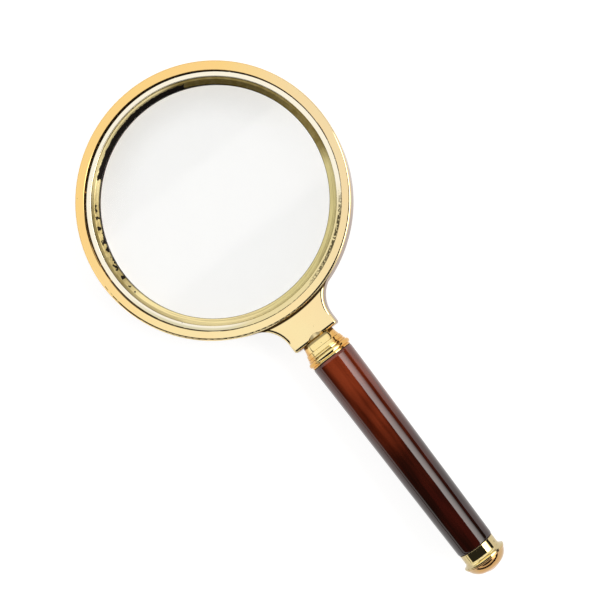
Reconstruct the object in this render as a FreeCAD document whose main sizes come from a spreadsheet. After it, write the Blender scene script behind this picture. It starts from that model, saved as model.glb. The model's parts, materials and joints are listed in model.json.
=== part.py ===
"""A hand-held magnifying glass with a screw-off handle, as a FreeCAD document of separate pieces.

Every piece is drawn in one design frame, in millimetres: the ring's centre is the origin, +Z is the
lens axis towards the front, and +Y runs along the handle, away from the ring. The pieces share one
placement, which lays the glass down as it rests on a table, on the ring's far edge and the handle's
bead. The placed frame has +Z up, the handle along -Y and its origin under the middle of the glass.
"""

import math
import os
import re

import FreeCAD
import Part
import Sketcher

# Driving sizes in millimetres and degrees. Lengths named "..._at" are places along the handle.
SIZES = {
    # Lens and what holds it in the ring
    "lens_radius": 45.0,
    "lens_half_edge": 1.5,
    "lens_half_middle": 4.76,
    "view_radius": 44.25,
    "seat_depth": 2.1,
    "gasket_gap": 0.02,
    "gasket_top": 1.62,
    "pocket_gap": 0.1,
    "retainer_radius": 47.0,
    "retainer_base": 1.62,
    "retainer_top": 3.0,
    "retainer_land": 0.9,
    "bezel_radius": 49.1,
    "bezel_seat": 2.2,
    "bezel_lip": 0.3,
    "bezel_lip_top": 3.7,
    "bezel_top": 3.8,
    "seam_break": 0.14,
    "ring_gap": 0.03,
    # Ring
    "rim_radius": 52.65,
    "rim_half": 6.0,
    "rim_round": 0.95,
    "back_edge_radius": 47.6,
    "back_step_radius": 46.4,
    "back_step_width": 0.8,
    "back_step_depth": 4.6,
    "back_land": 0.5,
    # Neck
    "neck_half_width": 9.7,
    "neck_half": 5.0,
    "neck_end_at": 65.0,
    "neck_fillet": 12.0,
    "neck_round": 1.15,
    "neck_corner": 1.0,
    "neck_root_depth": 1.9,
    "neck_bite": 0.1,
    "bush_radius": 4.0,
    "bush_start_at": 55.4,
    "bush_cone_at": 61.63,
    "bush_wide_at": 64.4,
    "bush_wide_radius": 6.1,
    "bush_end_radius": 5.5,
    "bush_gap": 0.02,
    # Screw thread between the neck and the handle
    "thread_pitch": 1.0,
    "stud_core": 2.4,
    "stud_crest": 2.93,
    "stud_base_width": 0.78,
    "stud_crest_width": 0.12,
    "nut_crest": 2.55,
    "nut_root": 3.1,
    "nut_mouth_width": 0.86,
    "nut_root_width": 0.2,
    "thread_sink": 0.2,
    "stud_tip_at": 55.7,
    "stud_first_at": 56.5,
    "stud_turns": 7.0,
    "nut_first_at": 54.5,
    "nut_turns": 11.5,
    "stud_tip_bevel": 0.5,
    # Collar that sits between the neck and the handle's bead
    "collar_start_at": 65.05,
    "collar_start_radius": 6.7,
    "collar_waist_at": 68.35,
    "collar_waist_radius": 7.45,
    "collar_flare": 14.0,
    "collar_edge_at": 68.85,
    "collar_edge_radius": 7.75,
    "collar_groove_at": 70.1,
    "collar_groove_radius": 8.12,
    "collar_groove_depth": 0.3,
    "collar_groove_width": 0.36,
    "collar_band_radius": 8.28,
    "collar_end_at": 71.15,
    "edge_break": 0.15,
    # Bead at the top of the handle
    "bead_start_at": 71.2,
    "bead_start_radius": 8.65,
    "bead_end_at": 73.1,
    "bead_end_radius": 8.45,
    "bead_curve": 1.05,
    "lip_radius": 8.52,
    "lip_groove": 0.15,
    "lip_end_at": 73.8,
    "top_spigot_radius": 6.0,
    "top_spigot_end_at": 80.0,
    # Tie rod through the handle
    "rod_radius": 2.95,
    "rod_start_at": 64.6,
    "rod_end_at": 169.8,
    "rod_gap": 0.06,
    # Grip
    "grip_start_at": 74.05,
    "grip_start_radius": 8.6,
    "grip_end_at": 160.64,
    "grip_end_radius": 7.46,
    "grip_top_break": 0.12,
    "grip_end_break": 0.3,
    "grip_bore": 3.3,
    "spigot_gap": 0.05,
    "spigot_end_gap": 0.2,
    "washer_gap": 0.02,
    "top_washer_radius": 8.3,
    "end_washer_radius": 7.05,
    # Collar, nut and knob at the end of the handle
    "end_start_at": 160.9,
    "end_radius": 7.2,
    "end_flare_at": 164.4,
    "end_flare_curve": 1.6,
    "end_flange_at": 165.75,
    "end_flange_radius": 8.65,
    "end_stop_at": 166.25,
    "end_spigot_radius": 5.0,
    "end_spigot_start_at": 156.0,
    "end_floor_at": 161.8,
    "end_hollow_radius": 6.1,
    "spring_radius": 5.6,
    "spring_thickness": 1.2,
    "spring_turn": 348.0,
    "nut_across_corners": 11.55,
    "nut_thickness": 3.2,
    "knob_start_at": 166.3,
    "knob_band_radius": 8.32,
    "knob_band": 0.45,
    "knob_shoulder_at": 166.95,
    "knob_shoulder_radius": 8.02,
    "knob_side_curve": 6.0,
    "knob_brow_at": 170.8,
    "knob_brow_radius": 3.7,
    "knob_tip_at": 171.7,
    "knob_hole_end_at": 170.1,
    "full_turn": 360.0,
}

document = FreeCAD.newDocument("MagnifyingGlass")
sheet = document.addObject("Spreadsheet::Sheet", "Sizes")
for row, (alias, number) in enumerate(SIZES.items(), start=1):
    sheet.set(f"A{row}", alias.replace("_", " "))
    sheet.set(f"B{row}", str(number))
    sheet.setAlias(f"B{row}", alias)
document.recompute()


def bound(text):
    """Turns size names into references to the sheet's cells."""
    return re.sub(r"[a-z]\w*", r"Sizes.\g<0>", text)


def value(text):
    """Works out an expression of size names as a number."""
    return float(sheet.evalExpression(bound(text)))


def origin_plane(body, role):
    """Finds one of a body's own origin planes by its role."""
    return next(item for item in body.Origin.OriginFeatures if item.Role == role)


def new_body(label):
    """Starts a body whose label names its file."""
    body = document.addObject("PartDesign::Body", label)
    body.Label = label
    return body


def new_sketch(body, name, role):
    """Starts a sketch that lies flat on one of the body's origin planes."""
    sketch = body.newObject("Sketcher::SketchObject", name)
    sketch.AttachmentSupport = [(origin_plane(body, role), "")]
    sketch.MapMode = "FlatFace"
    return sketch


def bulge_point(start, end, radius, side):
    """Finds the middle of the short arc from start to end; side 1 bulges to the left of the way."""
    chord = end - start
    half = chord.Length / 2
    rise = radius - math.sqrt(radius**2 - half**2)
    left = FreeCAD.Vector(-chord.y, chord.x, 0).normalize()
    return (start + end) / 2 + left * rise * side


def draw_outline(sketch, corners):
    """Draws a closed outline and ties every corner to the sheet.

    Each corner is (x, y) as expressions of sizes. A third and fourth entry (radius, side) make the
    edge that leaves the corner an arc.
    """
    points = [FreeCAD.Vector(value(corner[0]), value(corner[1]), 0) for corner in corners]
    edges = []
    for index, corner in enumerate(corners):
        start, end = points[index], points[(index + 1) % len(points)]
        edge = Part.LineSegment(start, end)
        if len(corner) == 4:
            edge = Part.Arc(start, bulge_point(start, end, value(corner[2]), corner[3]), end)
        edges.append(sketch.addGeometry(edge, False))

    def end_at(edge, point):
        """Says which end of an edge is at a point: 1 is its start and 2 is its end."""
        return min((1, 2), key=lambda place: (sketch.getPoint(edge, place) - point).Length)

    for index, corner in enumerate(corners):
        point = points[index]
        here, before = edges[index], edges[index - 1]
        place = end_at(here, point)
        sketch.addConstraint(Sketcher.Constraint("Coincident", before, end_at(before, point), here, place))
        for axis, kind, other_axis in ((0, "DistanceX", -2), (1, "DistanceY", -1)):
            if abs(point[axis]) < 1e-9:
                sketch.addConstraint(Sketcher.Constraint("PointOnObject", here, place, other_axis))
                continue
            tie = sketch.addConstraint(Sketcher.Constraint(kind, -1, 1, here, place, point[axis]))
            sketch.setExpression(f"Constraints[{tie}]", bound(corner[axis]))
        if len(corner) == 4:
            tie = sketch.addConstraint(Sketcher.Constraint("Radius", here, value(corner[2])))
            sketch.setExpression(f"Constraints[{tie}]", bound(corner[2]))


def revolve(body, name, role, corners, kind="Revolution", angle="full_turn"):
    """Turns an outline about its sketch's vertical axis, adding to the body or, as a Groove, cutting."""
    sketch = new_sketch(body, f"{name}_outline", role)
    draw_outline(sketch, corners)
    turned = body.newObject(f"PartDesign::{kind}", name)
    turned.Profile = sketch
    turned.ReferenceAxis = (sketch, ["V_Axis"])
    turned.setExpression("Angle", bound(angle))
    return turned


def turned_body(label, role, corners, angle="full_turn"):
    """Makes a piece that is one outline turned about the lens axis or the handle's axis."""
    body = new_body(label)
    revolve(body, f"{label}_turned", role, corners, angle=angle)
    return body


def about_lens_axis(label, corners):
    """Makes a ring-like piece; corners are (distance from the lens axis, height)."""
    return turned_body(label, "XZ_Plane", corners)


def about_handle(label, corners, angle="full_turn"):
    """Makes a turned handle piece; corners are (radius, place along the handle)."""
    return turned_body(label, "XY_Plane", corners, angle)


def thread(body, name, kind, corners, turns):
    """Winds a right-hand thread about the handle's axis from its section."""
    sketch = new_sketch(body, f"{name}_section", "XY_Plane")
    draw_outline(sketch, corners)
    wound = body.newObject(f"PartDesign::{kind}", name)
    wound.Profile = sketch
    wound.ReferenceAxis = (sketch, ["V_Axis"])
    wound.Mode = "pitch-turns-angle"
    wound.setExpression("Pitch", bound("thread_pitch"))
    wound.setExpression("Turns", bound(turns))
    wound.LeftHanded = False
    return wound


def make_rim_frame():
    """Makes the ring with its neck: the lens pocket, two recesses for rings, and the bush's hole."""
    body = new_body("rim_frame")
    outline = new_sketch(body, "neck_outline", "XY_Plane")
    reach = "(rim_radius - neck_bite + neck_fillet)"
    across = "(neck_half_width + neck_fillet)"
    fillet_at = f"({reach}^2 - {across}^2)^0.5"
    touch = f"((rim_radius - neck_bite) / {reach})"
    root = f"((rim_radius - neck_root_depth) / {reach})"
    draw_outline(
        outline,
        [
            (f"0 - {across} * {root}", f"{fillet_at} * {root}"),
            (f"0 - {across} * {touch}", f"{fillet_at} * {touch}", "neck_fillet", -1),
            ("0 - neck_half_width", fillet_at),
            ("0 - neck_half_width", "neck_end_at - neck_corner", "neck_corner", 1),
            ("neck_corner - neck_half_width", "neck_end_at"),
            ("neck_half_width - neck_corner", "neck_end_at", "neck_corner", 1),
            ("neck_half_width", "neck_end_at - neck_corner"),
            ("neck_half_width", fillet_at, "neck_fillet", -1),
            (f"{across} * {touch}", f"{fillet_at} * {touch}"),
            (f"{across} * {root}", f"{fillet_at} * {root}", "rim_radius - neck_root_depth", -1),
        ],
    )
    neck = body.newObject("PartDesign::Pad", "neck")
    neck.Profile = outline
    neck.Midplane = True
    neck.setExpression("Length", bound("2 * neck_half"))
    document.recompute()

    half, root_at = value("neck_half"), value(f"{fillet_at} * {touch}")
    names = []
    for index, edge in enumerate(neck.Shape.Edges, start=1):
        box = edge.BoundBox
        flat_on_face = box.ZLength < 0.01 and abs(abs(box.Center.z) - half) < 0.01
        if flat_on_face and box.Center.y > root_at:
            names.append(f"Edge{index}")
    rounding = body.newObject("PartDesign::Fillet", "neck_rounding")
    rounding.Base = (neck, names)
    rounding.setExpression("Radius", bound("neck_round"))

    revolve(
        body,
        "ring",
        "XZ_Plane",
        [
            ("rim_radius", "rim_round - rim_half"),
            ("rim_radius", "rim_half - rim_round", "rim_round", -1),
            ("rim_radius - rim_round", "rim_half"),
            ("bezel_radius + seam_break", "rim_half"),
            ("bezel_radius", "rim_half - seam_break"),
            ("bezel_radius", "bezel_seat"),
            ("retainer_radius", "bezel_seat"),
            ("retainer_radius", "retainer_base"),
            ("lens_radius + pocket_gap", "retainer_base"),
            ("lens_radius + pocket_gap", "0 - seat_depth"),
            ("view_radius", "0 - seat_depth"),
            ("view_radius", "0 - seat_depth - back_land"),
            ("back_step_radius - back_step_width", "0 - back_step_depth"),
            ("back_step_radius", "0 - back_step_depth"),
            ("back_edge_radius", "0 - rim_half"),
            ("rim_radius - rim_round", "0 - rim_half", "rim_round", -1),
        ],
    )
    revolve(
        body,
        "bush_hole",
        "XY_Plane",
        [
            ("0", "bush_start_at"),
            ("bush_radius", "bush_start_at"),
            ("bush_radius", "bush_cone_at"),
            ("bush_wide_radius", "bush_wide_at"),
            ("bush_wide_radius", "neck_end_at + 1"),
            ("0", "neck_end_at + 1"),
        ],
        kind="Groove",
    )
    return body


def make_neck_bush():
    """Makes the turned, threaded bush that is fixed in the neck; its wide end shows on both faces."""
    body = new_body("neck_bush")
    revolve(
        body,
        "bush_blank",
        "XY_Plane",
        [
            ("nut_crest", "bush_start_at + bush_gap"),
            ("bush_radius - bush_gap", "bush_start_at + bush_gap"),
            ("bush_radius - bush_gap", "bush_cone_at + bush_gap"),
            ("bush_wide_radius - bush_gap", "bush_wide_at + bush_gap"),
            ("bush_end_radius", "neck_end_at"),
            ("nut_root", "neck_end_at"),
            ("nut_crest", "neck_end_at - nut_root + nut_crest"),
        ],
    )
    thread(
        body,
        "bush_thread",
        "SubtractiveHelix",
        [
            ("nut_crest - thread_sink", "nut_first_at - nut_mouth_width / 2 - thread_sink / 2"),
            ("nut_root", "nut_first_at - nut_root_width / 2"),
            ("nut_root", "nut_first_at + nut_root_width / 2"),
            ("nut_crest - thread_sink", "nut_first_at + nut_mouth_width / 2 + thread_sink / 2"),
        ],
        "nut_turns",
    )
    return body


def make_tie_rod():
    """Makes the steel rod: a threaded stud above the handle and a plain shank down to the knob."""
    body = new_body("tie_rod")
    revolve(
        body,
        "rod_blank",
        "XY_Plane",
        [
            ("0", "stud_tip_at"),
            ("stud_core - stud_tip_bevel", "stud_tip_at"),
            ("stud_core", "stud_tip_at + stud_tip_bevel"),
            ("stud_core", "rod_start_at"),
            ("rod_radius", "rod_start_at + rod_radius - stud_core"),
            ("rod_radius", "rod_end_at - edge_break"),
            ("rod_radius - edge_break", "rod_end_at"),
            ("0", "rod_end_at"),
        ],
    )
    thread(
        body,
        "stud_thread",
        "AdditiveHelix",
        [
            ("stud_core - thread_sink", "stud_first_at - stud_base_width / 2"),
            ("stud_core", "stud_first_at - stud_base_width / 2"),
            ("stud_crest", "stud_first_at - stud_crest_width / 2"),
            ("stud_crest", "stud_first_at + stud_crest_width / 2"),
            ("stud_core", "stud_first_at + stud_base_width / 2"),
            ("stud_core - thread_sink", "stud_first_at + stud_base_width / 2"),
        ],
        "stud_turns",
    )
    return body


def make_lens_group():
    """Makes the lens and the three rings that hold it in the frame."""
    rise = "(lens_half_middle - lens_half_edge)"
    curve = f"(lens_radius^2 + {rise}^2) / (2 * {rise})"
    lens = about_lens_axis(
        "lens",
        [
            ("0", "0 - lens_half_middle", curve, -1),
            ("lens_radius", "0 - lens_half_edge"),
            ("lens_radius", "lens_half_edge", curve, -1),
            ("0", "lens_half_middle"),
        ],
    )
    gasket = about_lens_axis(
        "lens_gasket",
        [
            ("view_radius + gasket_gap", "gasket_gap - seat_depth"),
            ("lens_radius", "gasket_gap - seat_depth"),
            ("lens_radius", "0 - gasket_top"),
            ("view_radius + gasket_gap", "0 - gasket_top"),
        ],
    )
    retainer = about_lens_axis(
        "lens_retainer",
        [
            ("view_radius", "retainer_base + ring_gap"),
            ("retainer_radius - ring_gap", "retainer_base + ring_gap"),
            ("retainer_radius - ring_gap", "retainer_top - seam_break"),
            ("retainer_radius - ring_gap - seam_break", "retainer_top"),
            ("retainer_radius - retainer_land", "retainer_top"),
            ("retainer_radius - retainer_land - seam_break", "retainer_top - seam_break"),
            ("view_radius", "retainer_base + bezel_lip"),
        ],
    )
    bezel = about_lens_axis(
        "front_bezel",
        [
            ("retainer_radius + ring_gap", "bezel_seat + ring_gap"),
            ("bezel_radius - ring_gap", "bezel_seat + ring_gap"),
            ("bezel_radius - ring_gap", "bezel_top - seam_break"),
            ("bezel_radius - ring_gap - seam_break", "bezel_top"),
            ("retainer_radius + ring_gap + bezel_lip", "bezel_lip_top"),
            ("retainer_radius + ring_gap", "bezel_lip_top"),
        ],
    )
    return [lens, gasket, retainer, bezel]


def make_neck_collar():
    """Makes the flared collar that is clamped between the neck and the handle's bead."""
    groove_end = "collar_groove_at + collar_groove_width"
    return about_handle(
        "neck_collar",
        [
            ("rod_radius + rod_gap", "collar_start_at"),
            ("collar_start_radius - edge_break", "collar_start_at"),
            ("collar_start_radius", "collar_start_at + edge_break", "collar_flare", 1),
            ("collar_waist_radius", "collar_waist_at"),
            ("collar_edge_radius", "collar_edge_at"),
            ("collar_groove_radius", "collar_groove_at"),
            ("collar_groove_radius - collar_groove_depth", "collar_groove_at + collar_groove_width / 2"),
            ("collar_band_radius", groove_end),
            ("collar_band_radius", "collar_end_at - edge_break"),
            ("collar_band_radius - edge_break", "collar_end_at"),
            ("rod_radius + rod_gap", "collar_end_at"),
        ],
    )


def make_grip_group():
    """Makes the bead, the wooden grip and the two thin washers at its ends."""
    bead = about_handle(
        "bead_ferrule",
        [
            ("rod_radius + rod_gap", "bead_start_at"),
            ("bead_start_radius", "bead_start_at", "bead_curve", -1),
            ("bead_end_radius", "bead_end_at"),
            ("bead_end_radius - lip_groove", "bead_end_at + lip_groove / 2"),
            ("lip_radius", "bead_end_at + lip_groove"),
            ("lip_radius", "lip_end_at - edge_break"),
            ("lip_radius - edge_break", "lip_end_at"),
            ("top_spigot_radius", "lip_end_at"),
            ("top_spigot_radius", "top_spigot_end_at"),
            ("rod_radius + rod_gap", "top_spigot_end_at"),
        ],
    )
    top_washer = about_handle(
        "top_washer",
        [
            ("top_spigot_radius + spigot_gap", "lip_end_at + washer_gap"),
            ("top_washer_radius", "lip_end_at + washer_gap"),
            ("top_washer_radius", "grip_start_at - washer_gap"),
            ("top_spigot_radius + spigot_gap", "grip_start_at - washer_gap"),
        ],
    )
    grip = about_handle(
        "grip",
        [
            ("top_spigot_radius + spigot_gap", "grip_start_at"),
            ("grip_start_radius - grip_top_break", "grip_start_at", "grip_top_break", -1),
            ("grip_start_radius", "grip_start_at + grip_top_break"),
            ("grip_end_radius", "grip_end_at - grip_end_break", "grip_end_break", -1),
            ("grip_end_radius - grip_end_break", "grip_end_at"),
            ("end_spigot_radius + spigot_gap", "grip_end_at"),
            ("end_spigot_radius + spigot_gap", "end_spigot_start_at - spigot_end_gap"),
            ("grip_bore", "end_spigot_start_at - spigot_end_gap"),
            ("grip_bore", "top_spigot_end_at + spigot_end_gap"),
            ("top_spigot_radius + spigot_gap", "top_spigot_end_at + spigot_end_gap"),
        ],
    )
    end_washer = about_handle(
        "end_washer",
        [
            ("end_spigot_radius + spigot_gap", "grip_end_at + washer_gap"),
            ("end_washer_radius", "grip_end_at + washer_gap"),
            ("end_washer_radius", "end_start_at - washer_gap"),
            ("end_spigot_radius + spigot_gap", "end_start_at - washer_gap"),
        ],
    )
    return [bead, top_washer, grip, end_washer]


def make_end_group():
    """Makes the flared end collar, the split spring washer inside it and the domed knob."""
    collar = about_handle(
        "end_collar",
        [
            ("rod_radius + rod_gap", "end_spigot_start_at"),
            ("end_spigot_radius", "end_spigot_start_at"),
            ("end_spigot_radius", "end_start_at"),
            ("end_radius - edge_break", "end_start_at"),
            ("end_radius", "end_start_at + edge_break"),
            ("end_radius", "end_flare_at", "end_flare_curve", 1),
            ("end_flange_radius", "end_flange_at"),
            ("end_flange_radius", "end_stop_at - edge_break"),
            ("end_flange_radius - edge_break", "end_stop_at"),
            ("end_hollow_radius", "end_stop_at"),
            ("end_hollow_radius", "end_floor_at"),
            ("rod_radius + rod_gap", "end_floor_at"),
        ],
    )
    spring = about_handle(
        "spring_washer",
        [
            ("rod_radius + rod_gap", "end_floor_at"),
            ("spring_radius", "end_floor_at"),
            ("spring_radius", "end_floor_at + spring_thickness"),
            ("rod_radius + rod_gap", "end_floor_at + spring_thickness"),
        ],
        angle="spring_turn",
    )
    knob = about_handle(
        "end_knob",
        [
            ("rod_radius + rod_gap", "knob_start_at"),
            ("knob_band_radius - edge_break", "knob_start_at"),
            ("knob_band_radius", "knob_start_at + edge_break"),
            ("knob_band_radius", "knob_start_at + knob_band"),
            ("knob_shoulder_radius", "knob_shoulder_at", "knob_side_curve", -1),
            ("knob_brow_radius", "knob_brow_at", "tip_curve", -1),
            ("0", "knob_tip_at"),
            ("0", "knob_hole_end_at"),
            ("rod_radius + rod_gap", "knob_hole_end_at"),
        ],
    )
    return [collar, spring, knob]


def make_clamp_nut():
    """Makes the thin hexagon nut that clamps the grip, with its axis along Z until it is placed."""
    prism = document.addObject("Part::Prism", "nut_prism")
    prism.Polygon = 6
    prism.setExpression("Circumradius", bound("nut_across_corners / 2"))
    prism.setExpression("Height", bound("nut_thickness"))
    hole = document.addObject("Part::Cylinder", "nut_hole")
    hole.setExpression("Radius", bound("rod_radius + rod_gap"))
    hole.setExpression("Height", bound("nut_thickness"))
    nut = document.addObject("Part::Cut", "clamp_nut")
    nut.Label = "clamp_nut"
    nut.Base = prism
    nut.Tool = hole
    return nut


def rest_tilt():
    """Works out how far the glass leans, in degrees, resting on the ring's far edge and the bead."""
    bead_at = value("(bead_start_at + bead_end_at) / 2")
    crest = value("bead_curve - (bead_curve^2 - ((bead_end_at - bead_start_at) / 2)^2)^0.5")
    crest += value("(bead_start_radius + bead_end_radius) / 2")
    span = value("rim_radius - rim_round") + bead_at
    return math.degrees(math.asin((crest - value("rim_half")) / span))


def rest_placement(pieces):
    """Lays the drawn pieces down and brings the middle of their base to the origin."""
    turn = FreeCAD.Rotation(FreeCAD.Vector(0, 0, 1), 180)
    lean = FreeCAD.Rotation(FreeCAD.Vector(1, 0, 0), -rest_tilt())
    placement = FreeCAD.Placement(FreeCAD.Vector(), lean * turn)
    drawn = Part.makeCompound([piece.Shape for piece in pieces])
    box = drawn.transformed(placement.toMatrix(), True).optimalBoundingBox(False, False)
    placement.Base = FreeCAD.Vector(-box.Center.x, -box.Center.y, -box.ZMin)
    return placement


tip_rise = SIZES["knob_tip_at"] - SIZES["knob_brow_at"]
tip_row = len(SIZES) + 1
sheet.set(f"A{tip_row}", "tip curve")
sheet.set(f"B{tip_row}", str((SIZES["knob_brow_radius"] ** 2 + tip_rise**2) / (2 * tip_rise)))
sheet.setAlias(f"B{tip_row}", "tip_curve")
document.recompute()

drawn_in_place = [make_rim_frame(), make_neck_bush(), *make_lens_group(), make_neck_collar()]
drawn_in_place += [make_tie_rod(), *make_grip_group(), *make_end_group()]
clamp_nut = make_clamp_nut()
document.recompute()

rest = rest_placement(drawn_in_place)
for piece in drawn_in_place:
    piece.Placement = rest
nut_place = FreeCAD.Vector(0, value("end_floor_at + spring_thickness"), 0)
along_handle = FreeCAD.Rotation(FreeCAD.Vector(1, 0, 0), -90)
clamp_nut.Placement = rest * FreeCAD.Placement(nut_place, along_handle)
document.recompute()

for item in document.Objects:
    if {"Invalid", "Error"} & set(item.State):
        raise RuntimeError(f"{item.Name} failed: {item.State}")
os.makedirs("parts", exist_ok=True)
for piece in [*drawn_in_place, clamp_nut]:
    if piece.Shape.isNull() or not piece.Shape.isValid():
        raise RuntimeError(f"{piece.Label} has no valid shape")
    print(f"{piece.Label:14s} {piece.Shape.Volume:10.2f} mm3, {len(piece.Shape.Solids)} solid")
    piece.Shape.exportStep(f"parts/{piece.Label}.step")
print("rest placement", rest.Base, "leaning", rest_tilt(), "degrees")
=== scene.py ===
"""Dresses the screw-handled magnifying glass: gold plating, lens, lacquered grip and studio."""

import json
import logging
import math
from dataclasses import dataclass
from enum import Enum
from typing import Union

import bpy
from mathutils import Matrix, Vector


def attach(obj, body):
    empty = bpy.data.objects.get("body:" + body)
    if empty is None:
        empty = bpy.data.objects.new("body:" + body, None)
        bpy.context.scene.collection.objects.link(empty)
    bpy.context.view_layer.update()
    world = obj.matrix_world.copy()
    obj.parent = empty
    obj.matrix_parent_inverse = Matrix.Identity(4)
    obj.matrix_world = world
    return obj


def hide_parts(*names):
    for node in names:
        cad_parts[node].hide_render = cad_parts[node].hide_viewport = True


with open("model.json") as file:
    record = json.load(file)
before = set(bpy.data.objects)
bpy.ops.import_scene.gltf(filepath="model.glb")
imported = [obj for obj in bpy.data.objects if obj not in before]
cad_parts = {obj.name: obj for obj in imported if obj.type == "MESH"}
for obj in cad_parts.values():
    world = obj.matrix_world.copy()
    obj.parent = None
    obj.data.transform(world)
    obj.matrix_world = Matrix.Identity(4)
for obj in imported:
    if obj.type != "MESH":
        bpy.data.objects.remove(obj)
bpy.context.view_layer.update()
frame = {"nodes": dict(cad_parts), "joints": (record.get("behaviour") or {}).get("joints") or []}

LOG = logging.getLogger("magnifying_glass")
MM = 0.001
TOUCHING = 0.001
SAME_PLACE = 0.002
SMOOTH_BELOW = math.radians(28.0)


def tint(red: int, green: int, blue: int) -> tuple[float, float, float, float]:
    """Turns a colour as a paint chart gives it, 0 to 255, into a linear colour.

    Args:
        red: Red part.
        green: Green part.
        blue: Blue part.

    Returns:
        The linear red, green, blue and an alpha of 1.
    """

    def straight(part: int) -> float:
        share = part / 255
        return share / 12.92 if share <= 0.04045 else ((share + 0.055) / 1.055) ** 2.4

    return (straight(red), straight(green), straight(blue), 1.0)


class Drawing:
    """The drawing's own axes: lens centre as origin, +Z out of the front, -Y down the handle."""

    def __init__(self) -> None:
        """Reads the axes from the joint that the handle screws on."""
        screw = next(joint for joint in frame["joints"] if joint["type"] == "hinge")
        along = Vector(screw["axis"])
        self.centre = Vector(screw["pos_m"])
        self.lean = math.atan2(along.z, -along.y)

    def place(self) -> Matrix:
        """Gives the matrix from drawing millimetres to the frame's metres."""
        lean = Matrix.Rotation(-self.lean, 4, "X")
        return Matrix.Translation(self.centre) @ lean @ Matrix.Scale(MM, 4)

    def point(self, x: float, y: float, z: float) -> Vector:
        """Gives a drawing point, in millimetres, as a place in the frame."""
        return self.place() @ Vector((x, y, z))

    def direction(self, x: float, y: float, z: float) -> Vector:
        """Turns a drawing direction into the frame's axes."""
        return Matrix.Rotation(-self.lean, 3, "X") @ Vector((x, y, z))

    def read(self, place: Vector) -> Vector:
        """Gives a place in the frame as a drawing point, in millimetres."""
        return self.place().inverted() @ place


DRAWING = Drawing()


class Signal:
    """A shader socket that takes part in Python expressions."""

    def __init__(self, graph: "ShaderGraph", socket: bpy.types.NodeSocket) -> None:
        """Keeps the graph and the socket.

        Args:
            graph: The graph that new nodes are added to.
            socket: The output socket that this signal reads.
        """
        self.graph = graph
        self.socket = socket

    def _math(self, operation: str, first: "Feed", second: "Feed") -> "Signal":
        """Adds a Math node for one operation on two feeds."""
        return self.graph.node("ShaderNodeMath", {"operation": operation}, {0: first, 1: second})

    def __add__(self, other: "Feed") -> "Signal":
        """Adds."""
        return self._math("ADD", self, other)

    __radd__ = __add__

    def __sub__(self, other: "Feed") -> "Signal":
        """Subtracts the other."""
        return self._math("SUBTRACT", self, other)

    def __rsub__(self, other: "Feed") -> "Signal":
        """Subtracts this from the other."""
        return self._math("SUBTRACT", other, self)

    def __mul__(self, other: "Feed") -> "Signal":
        """Multiplies."""
        return self._math("MULTIPLY", self, other)

    __rmul__ = __mul__

    def __truediv__(self, other: "Feed") -> "Signal":
        """Divides by the other."""
        return self._math("DIVIDE", self, other)

    def __pow__(self, other: "Feed") -> "Signal":
        """Raises to a power."""
        return self._math("POWER", self, other)

    def __abs__(self) -> "Signal":
        """Drops the sign."""
        return self._math("ABSOLUTE", self, 0.0)

    def between(self, low: float, high: float) -> "Signal":
        """Rises smoothly from 0 at low to 1 at high; low may be the larger of the two."""
        settings = {"interpolation_type": "SMOOTHSTEP"}
        sockets = {"Value": self, "From Min": low, "From Max": high}
        return self.graph.node("ShaderNodeMapRange", settings, sockets)


Feed = Union[Signal, float, tuple, Vector]


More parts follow.
